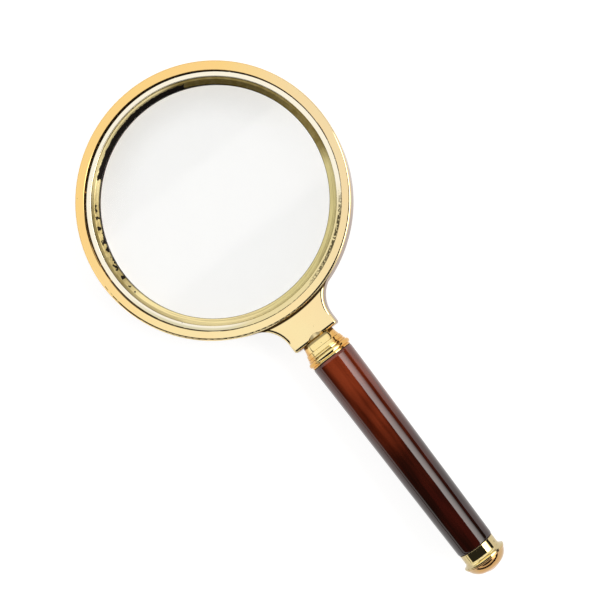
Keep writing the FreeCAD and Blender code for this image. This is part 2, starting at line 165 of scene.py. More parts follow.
class ShaderGraph:
    """The node tree of one material or of the world."""

    def __init__(self, tree: bpy.types.NodeTree) -> None:
        """Empties a node tree to build in.

        Args:
            tree: The tree of a material or a world.
        """
        self.tree = tree
        self.tree.nodes.clear()

    def node(self, kind: str, settings: dict, sockets: dict, output: Union[int, str] = 0) -> Signal:
        """Adds a node.

        Args:
            kind: The node's type.
            settings: Its properties, set first.
            sockets: Values or signals by the socket's index, identifier or name.
            output: Which output to read.

        Returns:
            The signal of that output.
        """
        node = self.tree.nodes.new(kind)
        for name, setting in settings.items():
            setattr(node, name, setting)
        for key, feed in sockets.items():
            socket = self._socket(node, key)
            if isinstance(feed, Signal):
                self.tree.links.new(feed.socket, socket)
            else:
                socket.default_value = feed
        return Signal(self, node.outputs[output])

    @staticmethod
    def _socket(node: bpy.types.Node, key: Union[int, str]) -> bpy.types.NodeSocket:
        """Finds an input by its index, identifier or name."""
        if isinstance(key, int):
            return node.inputs[key]
        for socket in node.inputs:
            if socket.identifier == key:
                return socket
        return node.inputs[key]

    def mix(self, share: Feed, first: Feed, second: Feed) -> Signal:
        """Mixes two colours; share 0 is the first and 1 the second."""
        sockets = {"Factor_Float": share, "A_Color": first, "B_Color": second}
        return self.node("ShaderNodeMix", {"data_type": "RGBA", "blend_type": "MIX"}, sockets, 2)

    def top(self, first: Feed, second: Feed) -> Signal:
        """Gives the larger of two numbers."""
        return self.node("ShaderNodeMath", {"operation": "MAXIMUM"}, {0: first, 1: second})

    def sector(self, x: Signal, y: Signal, radius: Signal, azimuth: float, spread: tuple) -> Signal:
        """Marks a sector of the ring.

        Args:
            x: Drawing x.
            y: Drawing y.
            radius: Distance from the lens axis.
            azimuth: Middle of the sector in degrees.
            spread: Half the angle that is fully marked, and half the angle beyond which nothing
                is, in degrees.

        Returns:
            The mask.
        """
        inner, outer = spread
        turn = math.radians(azimuth)
        facing = (x * math.cos(turn) + y * math.sin(turn)) / radius
        return facing.between(math.cos(math.radians(outer)), math.cos(math.radians(inner)))

    def end(self, kind: str, surface: Signal) -> None:
        """Joins a shader to a new output node."""
        output = self.tree.nodes.new(kind)
        self.tree.links.new(surface.socket, output.inputs["Surface"])

    def split(self, vector: Signal) -> tuple[Signal, Signal, Signal]:
        """Splits a vector into its three numbers."""
        x = self.node("ShaderNodeSeparateXYZ", {}, {0: vector})
        outputs = x.socket.node.outputs
        return x, Signal(self, outputs[1]), Signal(self, outputs[2])

    def drawing_place(self, stretch: tuple = (1.0, 1.0, 1.0)) -> Signal:
        """Gives the shaded point in the drawing's axes, in millimetres.

        Args:
            stretch: How much longer a pattern is drawn along each drawing axis.

        Returns:
            The point as a vector signal.
        """
        coordinates = self.node("ShaderNodeTexCoord", {}, {}, "Object")
        sockets = {
            "Vector": coordinates,
            "Location": DRAWING.centre,
            "Rotation": (-DRAWING.lean, 0.0, 0.0),
            "Scale": tuple(MM * size for size in stretch),
        }
        return self.node("ShaderNodeMapping", {"vector_type": "TEXTURE"}, sockets)

    def about_lens(self) -> tuple[Signal, Signal, Signal, Signal, Signal]:
        """Gives the shaded point, its drawing x, y and z, and its distance from the lens axis."""
        place = self.drawing_place()
        x, y, z = self.split(place)
        return place, x, y, z, (x * x + y * y) ** 0.5

    def noise(self, place: Signal, size: float, detail: float = 2.0, roughness: float = 0.5) -> Signal:
        """Adds a cloudy pattern.

        Args:
            place: Where on the pattern, in millimetres.
            size: Size of its clouds in millimetres.
            detail: How many finer layers it has.
            roughness: How strong the finer layers are.

        Returns:
            A number about 0.5.
        """
        sockets = {"Vector": place, "Scale": 1 / size, "Detail": detail, "Roughness": roughness}
        return self.node("ShaderNodeTexNoise", {}, sockets)

    def specks(self, place: Signal, spacing: float, radius: float) -> Signal:
        """Adds small round specks: 1 inside a speck and 0 elsewhere.

        Args:
            place: Where on the pattern, in millimetres.
            spacing: Average distance between specks in millimetres.
            radius: Their radius as a share of the spacing.

        Returns:
            The mask.
        """
        cells = self.node("ShaderNodeTexVoronoi", {}, {"Vector": place, "Scale": 1 / spacing})
        return cells.between(radius, radius * 0.6)

    def bump(self, height: Feed, depth: float) -> Signal:
        """Turns a height signal into a normal.

        Args:
            height: The height, 0 to 1.
            depth: What a height of 1 stands for, in millimetres.

        Returns:
            The normal.
        """
        return self.node("ShaderNodeBump", {}, {"Height": height, "Distance": depth * MM, "Strength": 1.0})


class Finish:
    """A surface finish that becomes one material."""

    name = "finish"

    def material(self) -> bpy.types.Material:
        """Builds the finish's material."""
        material = bpy.data.materials.new(self.name)
        material.use_nodes = True
        graph = ShaderGraph(material.node_tree)
        graph.end("ShaderNodeOutputMaterial", self.surface(graph))
        return material

    def surface(self, graph: ShaderGraph) -> Signal:
        """Builds the shader; each finish has its own."""
        raise NotImplementedError


@dataclass(frozen=True)
class GoldPlate(Finish):
    """Mirror-polished gold plating: slow waves, pores, hairlines, seam grime, painted crease shade.

    The far side of the ring is a warmer gold than the side by the handle, and the outer flank by
    the handle carries a painted dark reflection in brown.
    """

    name: str = "polished_gold_plate"
    warm: tuple = tint(250, 213, 137)
    pale: tuple = tint(249, 231, 177)
    rosy: tuple = tint(241, 220, 173)
    brown: tuple = tint(60, 38, 12)
    edge: tuple = (0.62, 0.50, 0.44, 1.0)
    cloud_tint: tuple = tint(255, 208, 150)
    warm_to_pale: tuple = (38.0, -40.0)
    rosy_from: tuple = (12.0, 48.0)
    gloss: float = 0.03
    wave_size: float = 9.0
    wave_depth: float = 0.012
    seam_radius: float = 49.1
    seam_half_width: float = 0.16
    seam_foot: tuple = (4.7, 4.1)
    painted_flank_dark: tuple = tint(88, 64, 34)
    painted_flank_side: float = -105.0
    painted_flank_spread: tuple = (70.0, 115.0)
    flank_top: float = 5.4
    neck_flank_top: float = 4.5
    flank_fade: float = 0.4
    outside: tuple = (49.6, 50.6)
    ring_edge: tuple = (53.4, 53.1)
    crease_inner: tuple = (52.2, 52.45)
    crease_outer: tuple = (53.5, 53.2)
    crease_side: tuple = (-48.0, -50.0)
    crease_top: tuple = (5.65, 5.4)
    crease_foot: tuple = (3.5, 4.2)

    def _flank(self, graph: ShaderGraph, z: Signal, radius: Signal, side: Signal) -> Signal:
        """Marks the flank that carries the painted dark reflection.

        Args:
            graph: The material's graph.
            z: Drawing z.
            radius: Distance from the lens axis.
            side: The mask of the tarnished side.

        Returns:
            The mask.
        """
        low = z.between(self.neck_flank_top, self.neck_flank_top - self.flank_fade)
        high = z.between(self.flank_top, self.flank_top - self.flank_fade) * radius.between(*self.ring_edge)
        return graph.top(low, high) * radius.between(*self.outside) * side

    def _crease(self, y: Signal, z: Signal, radius: Signal) -> Signal:
        """Marks the crease where the neck leaves the ring, for its painted shade."""
        across = radius.between(*self.crease_inner) * radius.between(*self.crease_outer)
        height = z.between(*self.crease_top) * z.between(*self.crease_foot)
        return across * y.between(*self.crease_side) * height

    def surface(self, graph: ShaderGraph) -> Signal:
        """Builds the plated metal."""
        place, x, y, z, radius = graph.about_lens()
        cloud = graph.noise(place, 14.0)
        colour = graph.mix((y - x * 0.2).between(*self.warm_to_pale), self.warm, self.pale)
        colour = graph.mix((x * 0.8 - y * 0.3).between(*self.rosy_from), colour, self.rosy)
        colour = graph.mix(cloud.between(0.4, 0.8) * 0.22, colour, self.cloud_tint)
        side = graph.sector(x, y, radius, self.painted_flank_side, self.painted_flank_spread)
        flank = self._flank(graph, z, radius, side)
        # painted dark reflection: the outer flank by the handle is mixed towards brown
        colour = graph.mix(flank * (0.65 + cloud * 0.4), colour, self.painted_flank_dark)
        grime = graph.noise(place, 1.6, 3.0, 0.7)
        seam = abs(radius - self.seam_radius).between(self.seam_half_width * 2.2, self.seam_half_width)
        seam = seam * grime.between(0.36, 0.5) * z.between(*self.seam_foot)
        pores = graph.specks(place, 3.4, 0.045)
        # painted shade in the crease where the neck leaves the ring
        crease = self._crease(y, z, radius) * (0.75 + cloud * 0.3)
        # dark marks: seam grime, pores and the painted crease shade
        dark_marks = graph.top(graph.top(seam * 0.9, pores * 0.75), crease)
        colour = graph.mix(dark_marks, colour, self.brown)
        hairlines = graph.noise(graph.drawing_place((9.0, 0.35, 1.0)), 0.5, 1.0)
        waves = graph.noise(place, self.wave_size, 1.0)
        sockets = {
            "Base Color": colour,
            "Metallic": 1.0,
            "Roughness": self.gloss + hairlines.between(0.6, 0.8) * 0.03 + dark_marks * 0.35,
            "Specular Tint": self.edge,
            "Normal": graph.bump(waves - dark_marks * 0.4, self.wave_depth),
        }
        return graph.node("ShaderNodeBsdfPrincipled", {}, sockets)


@dataclass(frozen=True)
class BezelPlate(Finish):
    """Pale champagne plating of the bezel: golden by the handle, dull beside that, and pitted."""

    name: str = "champagne_plate"
    champagne: tuple = tint(250, 245, 226)
    golden: tuple = tint(232, 218, 166)
    pitted: tuple = tint(46, 36, 18)
    dull: tuple = tint(218, 212, 180)
    golden_side: float = -75.0
    golden_spread: tuple = (28.0, 48.0)
    dull_side: float = -125.0
    dull_spread: tuple = (22.0, 50.0)
    dull_band: tuple = (47.4, 48.3)
    pitted_side: float = -56.0
    pitted_spread: tuple = (10.0, 26.0)
    pitted_band: tuple = (47.6, 47.95)
    seam_band: tuple = (48.72, 48.84)

    def surface(self, graph: ShaderGraph) -> Signal:
        """Builds the plated metal with its pits."""
        place, x, y, _, radius = graph.about_lens()
        dull = graph.sector(x, y, radius, self.dull_side, self.dull_spread) * radius.between(*self.dull_band)
        golden = graph.sector(x, y, radius, self.golden_side, self.golden_spread)
        colour = graph.mix(dull, self.champagne, self.dull)
        colour = graph.mix(golden, colour, self.golden)
        side = graph.sector(x, y, radius, self.pitted_side, self.pitted_spread)
        grain = graph.noise(place, 0.8, 4.0, 0.7)
        pits = radius.between(*self.pitted_band) * side * (grain + side * 0.12).between(0.52, 0.6) * 0.85
        rim = radius.between(*self.seam_band) * graph.noise(place, 1.4, 2.0, 0.6).between(0.3, 0.44)
        pores = graph.specks(place, 4.2, 0.05)
        dark_marks = graph.top(graph.top(pits, rim * 0.85), pores * 0.8)
        waves = graph.noise(place, 5.0, 1.0)
        sockets = {
            "Base Color": graph.mix(dark_marks, colour, self.pitted),
            "Metallic": 1.0,
            "Roughness": 0.05 + dark_marks * 0.4,
            "Normal": graph.bump(waves - dark_marks * 0.6, 0.02),
        }
        return graph.node("ShaderNodeBsdfPrincipled", {}, sockets)


@dataclass(frozen=True)
class InnerPlate(Finish):
    """Half-gloss plating inside the ring; painted dark reflections: black far end, olive right, patchy left.
    """

    name: str = "inner_plate_painted_reflections"
    bright: tuple = tint(246, 230, 172)
    greenish: tuple = tint(226, 214, 152)
    olive: tuple = tint(136, 118, 62)
    black: tuple = tint(20, 12, 5)
    black_reflection_side: float = 99.0
    black_reflection_spread: tuple = (26.0, 38.0)
    olive_reflection_side: float = 30.0
    olive_reflection_spread: tuple = (38.0, 52.0)
    left_reflection_side: float = 164.0
    left_reflection_spread: tuple = (16.0, 32.0)
    reflection_patch_side: float = 168.0
    reflection_patch_spread: tuple = (20.0, 30.0)
    greenish_side: float = -52.0
    greenish_spread: tuple = (30.0, 62.0)
    wall_band: tuple = (45.85, 45.6)
    foot_band: tuple = (2.1, 1.95)
    metallic: float = 0.72

    def surface(self, graph: ShaderGraph) -> Signal:
        """Builds the plating with its painted dark reflections."""
        place, x, y, z, radius = graph.about_lens()
        cloud = graph.noise(place, 2.2, 3.0, 0.6)
        lines = graph.noise(graph.drawing_place((30.0, 30.0, 0.25)), 1.0, 2.0)
        greenish = graph.sector(x, y, radius, self.greenish_side, self.greenish_spread)
        olive = graph.sector(x, y, radius, self.olive_reflection_side, self.olive_reflection_spread)
        colour = graph.mix(greenish, self.bright, self.greenish)
        # olive: painted dark reflection on the wall to the right
        colour = graph.mix(olive * (0.75 + cloud * 0.4), colour, self.olive)
        # painted dark reflection in olive patches on the left
        left = graph.sector(x, y, radius, self.left_reflection_side, self.left_reflection_spread)
        colour = graph.mix(left * (0.45 + cloud * 0.6), colour, self.olive)
        colour = graph.mix(lines.between(0.52, 0.66) * 0.45, colour, self.olive)
        # black: painted dark reflection at the far end of the wall
        black = graph.sector(x, y, radius, self.black_reflection_side, self.black_reflection_spread)
        ragged = (graph.noise(place, 1.3, 3.0, 0.6) - 0.5) * 0.9
        inside = (radius + ragged).between(*self.wall_band)
        black = (black + cloud * 0.55).between(0.70, 0.78) * inside
        # more painted dark reflection, in patches
        reflection_patches = graph.sector(x, y, radius, self.reflection_patch_side, self.reflection_patch_spread)
        reflection_patches = (reflection_patches * 0.28 + graph.noise(place, 2.6, 2.0)).between(0.79, 0.82) * inside
        dark = graph.top(black, reflection_patches)
        foot = z.between(*self.foot_band)
        sockets = {
            "Base Color": graph.mix(graph.top(dark, foot * 0.7), colour, self.black),
            "Metallic": self.metallic,
            "Roughness": 0.3 + cloud * 0.14 + dark * 0.2,
            "Normal": graph.bump(lines + cloud * 0.5 - dark * 0.5, 0.03),
        }
        return graph.node("ShaderNodeBsdfPrincipled", {}, sockets)


@dataclass(frozen=True)
class TurnedGold(Finish):
    """Gold plating on turned brass: fine turning lines round its axis, painted flank reflection, stain marks,
    painted gap shade.
    """

    name: str = "turned_gold_plate"
    middle: tuple = tint(250, 230, 165)
    painted_side_reflection: tuple = tint(218, 168, 94)
    brown: tuple = tint(74, 44, 14)
    painted_side_reflection_from: float = 3.6
    painted_side_reflection_to: float = 5.8
    stain_level: float = 0.64
    painted_gap_shade_from: float = -60.0

    def surface(self, graph: ShaderGraph) -> Signal:
        """Builds the turned metal."""
        place = graph.drawing_place()
        x, y, _ = graph.split(place)
        cloud = graph.noise(place, 4.0, 2.0)
        wander = (cloud - 0.5) * 2.0
        # painted reflection: the flanks of the turned piece get a deeper colour than its middle
        colour = graph.mix((abs(x) + wander).between(self.painted_side_reflection_from, self.painted_side_reflection_to), self.middle, self.painted_side_reflection)
        lines = graph.noise(graph.drawing_place((9.0, 0.16, 9.0)), 0.6, 1.0)
        stains_and_gap_shade = graph.noise(place, 1.1, 3.0, 0.65).between(self.stain_level, self.stain_level + 0.08)
        # painted shade at the collar's end beside the neck gap, mixed in with the stains
        stains_and_gap_shade = graph.top(stains_and_gap_shade, y.between(self.painted_gap_shade_from - 0.5, self.painted_gap_shade_from))
        sockets = {
            "Base Color": graph.mix(stains_and_gap_shade * 0.7, colour, self.brown),
            "Metallic": 1.0,
            "Roughness": 0.05 + lines.between(0.55, 0.75) * 0.05 + stains_and_gap_shade * 0.2,
            "Normal": graph.bump(lines * 0.25 + cloud, 0.02),
        }
        return graph.node("ShaderNodeBsdfPrincipled", {}, sockets)


@dataclass(frozen=True)
class LacqueredWood(Finish):
    """Red-brown wood that darkens down the handle, with painted shade on both flanks, under a thick lacquer.
    """

    name: str = "lacquered_wood"
    top_light: tuple = tint(142, 58, 30)
    top_dark: tuple = tint(84, 22, 3)
    end_light: tuple = tint(62, 17, 10)
    end_dark: tuple = tint(24, 9, 4)
    dust: tuple = tint(214, 190, 170)
    top_at: float = -76.0
    end_at: float = -138.0
    left_shade: tuple = (-1.5, -6.5)
    right_shade: tuple = (3.5, 7.5)

    def surface(self, graph: ShaderGraph) -> Signal:
        """Builds the wood under its lacquer."""
        place = graph.drawing_place()
        x, y, _ = graph.split(place)
        patchy = graph.noise(graph.drawing_place((1.0, 2.0, 1.0)), 11.0, 2.0)
        along = (y + (patchy - 0.5) * 46.0).between(self.top_at, self.end_at)
        grain = graph.noise(graph.drawing_place((1.0, 16.0, 1.0)), 4.2, 3.0, 0.55)
        fibres = graph.noise(graph.drawing_place((1.0, 30.0, 1.0)), 0.7, 2.0)
        figure = grain * 0.72 + patchy * 0.2 + fibres * 0.08
        light = graph.mix(along, self.top_light, self.end_light)
        dark = graph.mix(along, self.top_dark, self.end_dark)
        colour = graph.mix(figure.between(0.38, 0.66), dark, light)
        # painted shade: the grip's left and right flanks are darkened
        shaded = graph.top(x.between(*self.left_shade) * 0.6, x.between(*self.right_shade) * 0.45)
        colour = graph.mix(shaded, colour, self.end_dark)
        dust = graph.specks(place, 11.0, 0.018)
        ripple = graph.noise(graph.drawing_place((1.0, 5.0, 1.0)), 5.0, 2.0)
        smears = graph.noise(place, 6.0, 2.0).between(0.5, 0.8)
        sockets = {
            "Base Color": graph.mix(dust, colour, self.dust),
            "Roughness": 0.03 + smears * 0.04,
            "IOR": 1.58,
            "Normal": graph.bump(ripple + dust * 0.5, 0.014),
        }
        return graph.node("ShaderNodeBsdfPrincipled", {}, sockets)


@dataclass(frozen=True)
class OpticalGlass(Finish):
    """Polished clear glass with a ground edge, faint wipe marks and a painted shadow of the ring near its far
    side.
    """

    name: str = "optical_glass"
    ground_from: float = 44.5
    clear: tuple = (0.94, 0.945, 0.94, 1.0)
    painted_shadow_tone: tuple = (0.82, 0.82, 0.80, 1.0)
    painted_shadow_side: float = 78.0
    painted_shadow_spread: tuple = (20.0, 85.0)
    painted_shadow_band: tuple = (28.0, 44.0)

    def surface(self, graph: ShaderGraph) -> Signal:
        """Builds the glass."""
        _, x, y, _, radius = graph.about_lens()
        ground = radius.between(self.ground_from - 0.1, self.ground_from + 0.1)
        wipes = graph.noise(graph.drawing_place((14.0, 1.0, 14.0)), 4.0, 3.0)
        # painted shadow: the glass darkens near the far side of the ring, where the ring's shadow falls
        painted_shadow = graph.sector(x, y, radius, self.painted_shadow_side, self.painted_shadow_spread) * radius.between(*self.painted_shadow_band)
        sockets = {
            "Base Color": graph.mix(painted_shadow, self.clear, self.painted_shadow_tone),
            "Roughness": ground * 0.45 + wipes.between(0.62, 0.8) * 0.004,
            "IOR": 1.52,
            "Transmission Weight": 1.0,
        }
        return graph.node("ShaderNodeBsdfPrincipled", {}, sockets)


@dataclass(frozen=True)
class BlackRubber(Finish):
    """Matt black rubber with a fine grain."""

    name: str = "black_rubber"

    def surface(self, graph: ShaderGraph) -> Signal:
        """Builds the rubber."""
        grain = graph.noise(graph.drawing_place(), 0.3, 3.0)
        sockets = {
            "Base Color": graph.mix(grain, tint(16, 16, 16), tint(34, 33, 32)),
            "Roughness": 0.6 + grain * 0.2,
            "Normal": graph.bump(grain, 0.02),
        }
        return graph.node("ShaderNodeBsdfPrincipled", {}, sockets)


@dataclass(frozen=True)
class VulcanFibre(Finish):
    """Dark pressed fibre of the thin washers."""

    name: str = "vulcan_fibre"

    def surface(self, graph: ShaderGraph) -> Signal:
        """Builds the fibre."""
        strands = graph.noise(graph.drawing_place((1.0, 1.0, 6.0)), 0.4, 4.0, 0.7)
        sockets = {
            "Base Color": graph.mix(strands, tint(30, 14, 10), tint(66, 36, 26)),
            "Roughness": 0.55 + strands * 0.25,
            "Normal": graph.bump(strands, 0.01),
        }
        return graph.node("ShaderNodeBsdfPrincipled", {}, sockets)


@dataclass(frozen=True)
class ZincSteel(Finish):
    """Zinc-plated steel with turning marks round the handle's axis."""

    name: str = "zinc_plated_steel"

    def surface(self, graph: ShaderGraph) -> Signal:
        """Builds the steel."""
        marks = graph.noise(graph.drawing_place((8.0, 0.25, 8.0)), 0.5, 2.0)
        spangle = graph.noise(graph.drawing_place(), 1.8, 3.0)
        sockets = {
            "Base Color": graph.mix(spangle.between(0.35, 0.7), tint(168, 170, 172), tint(196, 190, 170)),
            "Metallic": 1.0,
            "Roughness": 0.22 + spangle * 0.18,
            "Normal": graph.bump(marks, 0.006),
        }
        return graph.node("ShaderNodeBsdfPrincipled", {}, sockets)


def wear(node: str, material: bpy.types.Material) -> None:
    """Gives a CAD node its finished material.

    Args:
        node: The node's name.
        material: The finish's material.
    """
    for slot in frame["nodes"][node].material_slots:
        slot.material = material
    LOG.info("%s wears %s", node, material.name)


class Axis(Enum):
    """The two axes that pieces are turned about, as drawing directions."""

    LENS = (0.0, 0.0, 1.0)
    HANDLE = (0.0, -1.0, 0.0)


@dataclass(frozen=True)
class Corner:
    """A corner of a turned profile.

    Attributes:
        radius: Distance from the axis in millimetres.
        along: Distance along the axis in millimetres.
        easing: How far the corner's rounding reaches along its edges in millimetres.
        cuts: Facets of that rounding.
    """

    radius: float
    along: float
    easing: float = 0.0
    cuts: int = 4


def arc(start: Corner, end: Corner, radius: float, cuts: int) -> list[Corner]:
    """Gives the corners of a round bulge between two corners.

    Args:
        start: Where the bulge starts; it isn't repeated in the result.
        end: Where it ends, also not repeated.
        radius: The bulge's radius in millimetres.
        cuts: How many flat steps it has.

    Returns:
        The corners between the two, on the side away from the axis.
    """
    first, last = Vector((start.radius, start.along)), Vector((end.radius, end.along))
    middle, chord = (first + last) / 2, last - first
    away = Vector((chord.y, -chord.x)).normalized()
    depth = math.sqrt(radius**2 - (chord.length / 2) ** 2)
    centre = middle - away * depth
    half = math.asin(chord.length / 2 / radius)
    points = []
    for cut in range(1, cuts):
        turn = half * (2 * cut / cuts - 1)
        spot = centre + (away * math.cos(turn) + chord.normalized() * math.sin(turn)) * radius
        points.append(Corner(spot.x, spot.y))
    return points


@dataclass(frozen=True)
class Lathe:
    """Turns closed profiles about one axis of the drawing."""

    axis: Axis
    steps: int = 160

    def _place(self, corner: Corner) -> Vector:
        """Gives a profile corner's place in the frame."""
        along = Vector(self.axis.value) * corner.along
        return DRAWING.point(along.x + corner.radius, along.y, along.z)

    def _measure(self, place: Vector) -> tuple[float, float]:
        """Gives the distance from the axis and along it of a place in the frame."""
        point = DRAWING.read(place)
        axis = Vector(self.axis.value)
        along = point.dot(axis)
        return (point - axis * along).length, along

    def turn(self, name: str, corners: list[Corner]) -> bpy.types.Object:
        """Turns a profile into a closed solid and rounds its corners.

        Args:
            name: The piece's name.
            corners: The profile's corners in order; a profile that starts and ends on the axis is
                left open there, and any other is closed.

        Returns:
            The piece, with its object at the origin.
        """
        bpy.ops.object.select_all(action="DESELECT")
        bpy.ops.mesh.primitive_plane_add(size=MM, location=self._place(corners[0]))
        piece = bpy.context.object
        piece.name = name
        bpy.ops.object.transform_apply(location=True, rotation=False, scale=False)
        bpy.ops.object.mode_set(mode="EDIT")
        bpy.ops.mesh.merge(type="CENTER")
        for start, end in zip(corners, corners[1:]):
            step = self._place(end) - self._place(start)
            bpy.ops.mesh.extrude_region_move(TRANSFORM_OT_translate={"value": step})
        on_axis = corners[0].radius == 0.0 and corners[-1].radius == 0.0
        if not on_axis:
            step = self._place(corners[0]) - self._place(corners[-1])
            bpy.ops.mesh.extrude_region_move(TRANSFORM_OT_translate={"value": step})
        bpy.ops.mesh.select_all(action="SELECT")
        bpy.ops.mesh.remove_doubles(threshold=MM * TOUCHING)
        bpy.ops.mesh.spin(
            steps=self.steps,
            angle=math.tau,
            center=DRAWING.point(0.0, 0.0, 0.0),
            axis=DRAWING.direction(*self.axis.value),
        )
        bpy.ops.mesh.select_all(action="SELECT")
        bpy.ops.mesh.remove_doubles(threshold=MM * SAME_PLACE)
        bpy.ops.mesh.normals_make_consistent(inside=False)
        bpy.ops.object.mode_set(mode="OBJECT")
        for corner in corners:
            if corner.easing > 0.0:
                self._ease(piece, corner)
        bpy.ops.object.shade_smooth_by_angle(angle=SMOOTH_BELOW)
        shading = piece.modifiers.new("broad_faces_lead", "WEIGHTED_NORMAL")
        shading.weight = 100
        shading.keep_sharp = True
        bpy.ops.object.modifier_apply(modifier="broad_faces_lead")
        return piece

    def _ease(self, piece: bpy.types.Object, corner: Corner) -> None:
        """Rounds the loop of edges that a corner became."""
        bpy.ops.object.mode_set(mode="EDIT")
        bpy.ops.mesh.select_mode(type="VERT")
        bpy.ops.mesh.select_all(action="DESELECT")
        bpy.ops.object.mode_set(mode="OBJECT")
        for vertex in piece.data.vertices:
            radius, along = self._measure(vertex.co)
            level = abs(along - corner.along) < SAME_PLACE
            vertex.select = level and abs(radius - corner.radius) < SAME_PLACE
        bpy.ops.object.mode_set(mode="EDIT")
        bpy.ops.mesh.bevel(
            offset=corner.easing * MM,
            segments=corner.cuts,
            affect="EDGES",
            clamp_overlap=True,
        )
        bpy.ops.object.mode_set(mode="OBJECT")


def finish_piece(piece: bpy.types.Object, body: str, material: bpy.types.Material) -> None:
    """Dresses a new piece and makes it move with its body.

    Args:
        piece: The piece.
        body: The body it rides on.
        material: Its material.
    """
    piece.data.materials.clear()
    piece.data.materials.append(material)
    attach(piece, body)
    LOG.info("%s rides on %s in %s", piece.name, body, material.name)


@dataclass
class LensHead:
    """The ring with its neck, the lens and the rings that hold it."""

    body: str = "head"
    bezel_bore: float = 47.03
    bezel_rim: float = 49.07
    bezel_base: float = 2.23
    bezel_lip_top: float = 3.7
    bezel_top: float = 3.8
    retainer_rim: float = 46.97
    retainer_top: float = 3.0
    retainer_foot: float = 1.66
    sight: float = 44.25
    sight_level: float = 1.92
    land: float = 0.9
    line_radii: tuple = (45.62, 45.02)

    def build_bezel(self) -> bpy.types.Object:
        """Turns the bezel, a nearly flat ring that sits low in the frame's bore."""
        corners = [
            Corner(self.bezel_bore, self.bezel_base),
            Corner(self.bezel_rim, self.bezel_base),
            Corner(self.bezel_rim, self.bezel_top - 0.14),
            Corner(self.bezel_rim - 0.14, self.bezel_top, 0.07, 3),
            Corner(self.bezel_bore + 0.3, self.bezel_lip_top + 0.02),
            Corner(self.bezel_bore + 0.1, self.bezel_lip_top, 0.06, 3),
            Corner(self.bezel_bore, self.bezel_lip_top - 0.1),
        ]
        return Lathe(Axis.LENS, 256).turn("bezel_ring", corners)

    def build_retainer(self) -> bpy.types.Object:
        """Turns the ring that presses the lens on its seat, with two fine lines on its wall."""
        inner = self.retainer_rim - self.land
        fall = (self.retainer_top - self.sight_level) / (inner - self.sight)
        corners = [
            Corner(self.sight + 0.4, self.retainer_foot),
            Corner(self.retainer_rim, self.retainer_foot),
            Corner(self.retainer_rim, self.retainer_top - 0.12),
            Corner(self.retainer_rim - 0.12, self.retainer_top),
            Corner(inner, self.retainer_top, 0.1, 3),
        ]
        for radius in self.line_radii:
            level = self.retainer_top - (inner - radius) * fall
            corners.append(Corner(radius, level))
            corners.append(Corner(radius - 0.02, level - 0.09))
        corners.append(Corner(self.sight, self.sight_level))
        return Lathe(Axis.LENS, 256).turn("retaining_ring", corners)

    def build(self) -> None:
        """Builds and dresses the whole head."""
        gold = GoldPlate().material()
        for node in ("rim_frame", "neck_bush"):
            wear(node, gold)
        wear("lens", OpticalGlass().material())
        wear("lens_gasket", BlackRubber().material())
        bezel = self.build_bezel()
        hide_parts("front_bezel")
        finish_piece(bezel, self.body, BezelPlate().material())
        retainer = self.build_retainer()
        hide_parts("lens_retainer")
        finish_piece(retainer, self.body, InnerPlate().material())
        LOG.info("lens head built")


@dataclass
class NeckCollar:
    """The loose turned collar between the neck and the handle's bead."""

    body: str = "collar"
    bore: float = 3.02
    start: float = 65.05
    end: float = 71.15
    painted_gap_shade_from: float = -65.7

    def build(self) -> None:
        """Turns the flared collar with its groove and band."""
        corners = [
            Corner(self.bore, self.start),
            Corner(6.7, self.start, 0.12, 3),
            Corner(6.98, 66.6),
            Corner(7.2, 67.6),
            Corner(7.45, 68.35, 0.05, 2),
            Corner(7.72, 68.5),
            Corner(7.78, 68.85, 0.08, 3),
            Corner(7.9, 69.45),
            Corner(8.12, 70.02, 0.08, 3),
            Corner(7.82, 70.16),
            Corner(7.82, 70.34),
            Corner(8.28, 70.46, 0.1, 3),
            Corner(8.28, self.end, 0.12, 3),
            Corner(self.bore, self.end),
        ]
        piece = Lathe(Axis.HANDLE).turn("flared_collar", corners)
        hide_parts("neck_collar")
        # the collar's end by the neck gets painted gap shade
        gold = TurnedGold(name="collar_gold", painted_gap_shade_from=self.painted_gap_shade_from).material()
        finish_piece(piece, self.body, gold)
        LOG.info("neck collar built")


